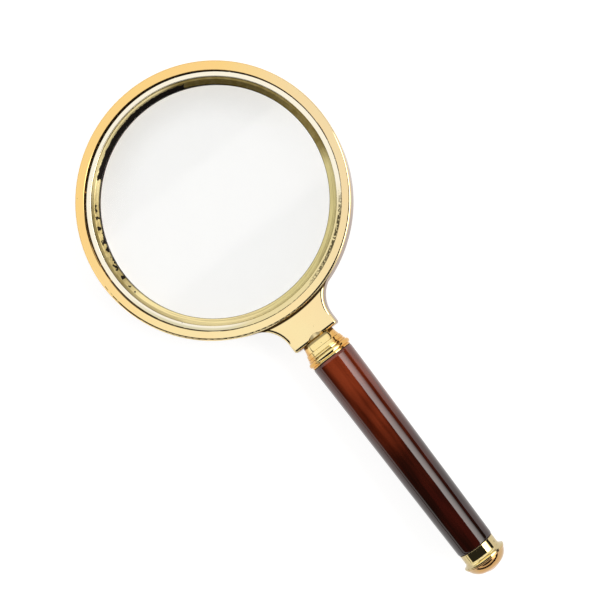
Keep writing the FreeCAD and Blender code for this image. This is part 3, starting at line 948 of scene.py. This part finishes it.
@dataclass
class Handle:
    """The tie rod and everything it clamps: bead, grip, end collar and knob."""

    body: str = "handle"
    rod_bore: float = 3.02
    grip_start: float = 74.05
    grip_end: float = 160.64
    grip_top_radius: float = 8.6
    grip_end_radius: float = 7.46
    grip_rings: int = 90
    dome_curve: float = 6.0
    tip_curve: float = 8.6
    ripple: float = 0.07
    ripple_size: float = 0.011
    spigot: float = 6.05
    spigot_depth: float = 6.15
    end_bore: float = 5.05
    end_bore_depth: float = 4.9
    clearance_bore: float = 3.3

    def build_bead(self) -> bpy.types.Object:
        """Turns the bead with its thin lip at the top of the grip."""
        corners = [
            Corner(self.rod_bore, 71.2),
            Corner(8.55, 71.2, 0.1, 3),
            Corner(8.9, 71.5),
            Corner(9.1, 71.85),
            Corner(9.13, 72.2),
            Corner(9.05, 72.6),
            Corner(8.8, 72.95),
            Corner(8.45, 73.12),
            Corner(8.37, 73.2),
            Corner(8.37, 73.32),
            Corner(8.52, 73.4, 0.05, 2),
            Corner(8.52, 73.8, 0.06, 2),
            Corner(6.0, 73.8),
            Corner(6.0, 79.95),
            Corner(self.rod_bore, 79.95),
        ]
        return Lathe(Axis.HANDLE).turn("bead_ring", corners)

    def build_grip(self) -> bpy.types.Object:
        """Turns the tapered grip and gives its lacquer the slow ripple of hand polishing."""
        length = self.grip_end - self.grip_start
        corners = [
            Corner(self.spigot, self.grip_start),
            Corner(self.grip_top_radius - 0.28, self.grip_start),
            Corner(self.grip_top_radius - 0.1, self.grip_start + 0.06),
            Corner(self.grip_top_radius - 0.02, self.grip_start + 0.25),
        ]
        for ring in range(1, self.grip_rings):
            share = ring / self.grip_rings
            radius = self.grip_top_radius + (self.grip_end_radius - self.grip_top_radius) * share
            corners.append(Corner(radius, self.grip_start + length * share))
        corners += [
            Corner(self.grip_end_radius - 0.03, self.grip_end - 0.4),
            Corner(self.grip_end_radius - 0.14, self.grip_end - 0.12),
            Corner(self.grip_end_radius - 0.4, self.grip_end),
            Corner(self.end_bore, self.grip_end),
            Corner(self.end_bore, self.grip_end - self.end_bore_depth),
            Corner(self.clearance_bore, self.grip_end - self.end_bore_depth),
            Corner(self.clearance_bore, self.grip_start + self.spigot_depth),
            Corner(self.spigot, self.grip_start + self.spigot_depth),
        ]
        piece = Lathe(Axis.HANDLE, 128).turn("lacquered_grip", corners)
        pattern = bpy.data.textures.new("lacquer_ripple", "CLOUDS")
        pattern.noise_scale = self.ripple_size
        pattern.noise_depth = 1
        ripple = piece.modifiers.new("ripple", "DISPLACE")
        ripple.texture = pattern
        ripple.texture_coords = "LOCAL"
        ripple.mid_level = 0.5
        ripple.strength = self.ripple * MM
        bpy.ops.object.modifier_apply(modifier="ripple")
        return piece

    def build_end_collar(self) -> bpy.types.Object:
        """Turns the end collar with its flared flange."""
        corners = [
            Corner(self.rod_bore, 156.0),
            Corner(5.0, 156.0),
            Corner(5.0, 160.9),
            Corner(7.2, 160.9, 0.12, 3),
            Corner(7.2, 164.4),
            Corner(7.32, 164.75),
            Corner(7.62, 165.1),
            Corner(8.1, 165.4),
            Corner(8.55, 165.6),
            Corner(8.65, 165.75, 0.05, 2),
            Corner(8.65, 166.25, 0.08, 3),
            Corner(6.1, 166.25),
            Corner(6.1, 161.8),
            Corner(self.rod_bore, 161.8),
        ]
        return Lathe(Axis.HANDLE).turn("end_collar_turned", corners)

    def build_knob(self) -> bpy.types.Object:
        """Turns the domed end knob with its band, shoulder and brow."""
        shoulder = Corner(8.02, 166.95)
        brow = Corner(3.7, 170.8)
        tip = Corner(0.0, 171.7)
        corners = [
            Corner(0.0, 170.1),
            Corner(self.rod_bore, 170.1),
            Corner(self.rod_bore, 166.3),
            Corner(8.32, 166.3, 0.06, 2),
            Corner(8.32, 166.75, 0.08, 3),
            shoulder,
            *arc(shoulder, brow, self.dome_curve, 14),
            brow,
            *arc(brow, tip, self.tip_curve, 8),
            tip,
        ]
        return Lathe(Axis.HANDLE).turn("domed_knob", corners)

    def build(self) -> None:
        """Builds and dresses the whole handle."""
        steel = ZincSteel().material()
        for node in ("tie_rod", "spring_washer", "clamp_nut"):
            wear(node, steel)
        fibre = VulcanFibre().material()
        for node in ("top_washer", "end_washer"):
            wear(node, fibre)
        gold = TurnedGold().material()
        # the knob's copper tone is a painted reflection
        copper_reflection_gold = TurnedGold(
            name="gold_painted_copper_reflection", middle=tint(198, 154, 98), painted_side_reflection=tint(192, 158, 112)
        ).material()
        # the end collar's cream flanks are a painted reflection
        cream_reflection_gold = TurnedGold(name="gold_painted_cream_reflection", painted_side_reflection=tint(194, 176, 132), stain_level=0.6).material()
        bead = self.build_bead()
        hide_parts("bead_ferrule")
        finish_piece(bead, self.body, gold)
        grip = self.build_grip()
        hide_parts("grip")
        finish_piece(grip, self.body, LacqueredWood().material())
        collar = self.build_end_collar()
        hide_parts("end_collar")
        finish_piece(collar, self.body, cream_reflection_gold)
        knob = self.build_knob()
        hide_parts("end_knob")
        finish_piece(knob, self.body, copper_reflection_gold)
        LOG.info("handle built")


@dataclass
class Studio:
    """A pale floor, the soft light round it and the camera above the glass."""

    floor_side: float = 6.0
    floor_glow: float = 0.86
    eye: tuple = (45.3, -87.1, 447.2)
    aim: tuple = (3.52, -50.92, 0.0)
    turn: float = math.radians(37.684)
    lens_mm: float = 71.4
    overhead: float = 1.0
    horizon: float = 1.0
    strip: float = 5.4
    dusk: float = 0.02
    dull: float = 0.4
    backdrop: float = 0.95
    box_from: tuple = (0.035, 0.075)
    box_height: tuple = (0.14, 0.22)
    strip_inner: tuple = (0.66, 0.74)
    strip_outer: tuple = (3.3, 2.7)
    strip_ends: tuple = (0.85, 0.7)
    strip_fade: tuple = (3.6, 0.2)
    glow_band: tuple = (0.11, 0.08)
    glow_end: tuple = (0.75, 0.55)
    glow_side: tuple = (0.93, 0.82)
    dull_height: tuple = (0.22, 0.14)
    dull_from: tuple = (0.5, 0.7)
    warmth: tuple = (1.0, 0.97, 0.94, 1.0)
    floor_paint: tuple = (0.3, 0.3, 0.3, 1.0)

    def floor(self) -> None:
        """Lays the floor."""
        bpy.ops.object.select_all(action="DESELECT")
        bpy.ops.mesh.primitive_plane_add(size=self.floor_side, location=(0, 0, 0))
        floor = bpy.context.object
        floor.name = "floor"
        material = bpy.data.materials.new("pale_floor")
        material.use_nodes = True
        graph = ShaderGraph(material.node_tree)
        sockets = {
            "Base Color": self.floor_paint,
            "Roughness": 0.9,
            "Emission Color": (1.0, 1.0, 1.0, 1.0),
            "Emission Strength": self.floor_glow,
        }
        graph.end("ShaderNodeOutputMaterial", graph.node("ShaderNodeBsdfPrincipled", {}, sockets))
        floor.data.materials.append(material)

    def radiance(self, graph: ShaderGraph, direction: Signal) -> Signal:
        """Gives the light from each direction: a box overhead, a long strip and a low glow.

        Args:
            graph: The world's graph.
            direction: The direction that is looked in.

        Returns:
            The light's strength.
        """
        x, y, z = graph.split(direction)
        box = y.between(*self.box_from) * z.between(*self.box_height)
        slant = x / graph.top(z, 0.02)
        strip = slant.between(*self.strip_inner) * slant.between(*self.strip_outer)
        strip = strip * abs(y).between(*self.strip_ends) * (1.0 - box) * slant.between(*self.strip_fade)
        level = abs(z + y * 0.28 - 0.12).between(*self.glow_band)
        low = level * y.between(*self.glow_end) * x.between(*self.glow_side) * (1.0 - box)
        dull = z.between(*self.dull_height) * y.between(*self.dull_from) * self.dull
        return box * self.overhead + strip * self.strip + low * self.horizon + dull + self.dusk

    def sky(self) -> None:
        """Builds the world: the studio's light for the glass, and a plain backdrop for the camera."""
        world = bpy.data.worlds.new("studio")
        bpy.context.scene.world = world
        world.use_nodes = True
        graph = ShaderGraph(world.node_tree)
        direction = graph.node("ShaderNodeTexCoord", {}, {}, "Generated")
        white = {"Color": (1.0, 1.0, 1.0, 1.0), "Strength": self.backdrop}
        pale = graph.node("ShaderNodeBackground", {}, white)
        studio = {"Color": self.warmth, "Strength": self.radiance(graph, direction)}
        lit = graph.node("ShaderNodeBackground", {}, studio)
        seen = graph.node("ShaderNodeLightPath", {}, {}, "Is Camera Ray")
        graph.end("ShaderNodeOutputWorld", graph.node("ShaderNodeMixShader", {}, {0: seen, 1: lit, 2: pale}))

    def camera(self) -> None:
        """Stands the camera over the glass."""
        camera = bpy.data.objects.new("camera", bpy.data.cameras.new("camera"))
        camera.data.lens = self.lens_mm
        camera.data.clip_start = 0.01
        eye = DRAWING.point(*self.eye)
        forward = (DRAWING.point(*self.aim) - eye).normalized()
        up = Vector((math.sin(self.turn), math.cos(self.turn), 0.0))
        right = forward.cross(up).normalized()
        rows = Matrix((right, right.cross(forward), -forward)).transposed()
        camera.matrix_world = Matrix.Translation(eye) @ rows.to_4x4()
        bpy.context.scene.collection.objects.link(camera)
        bpy.context.scene.camera = camera

    def build(self) -> None:
        """Builds the whole studio."""
        bpy.context.scene.view_settings.view_transform = "Standard"
        self.floor()
        self.sky()
        self.camera()
        LOG.info("studio built")


def main() -> None:
    """Builds the glass piece by piece, then its studio."""
    logging.basicConfig(level=logging.INFO, format="%(message)s")
    LensHead().build()
    NeckCollar().build()
    Handle().build()
    Studio().build()


if __name__ == "__main__":
    main()
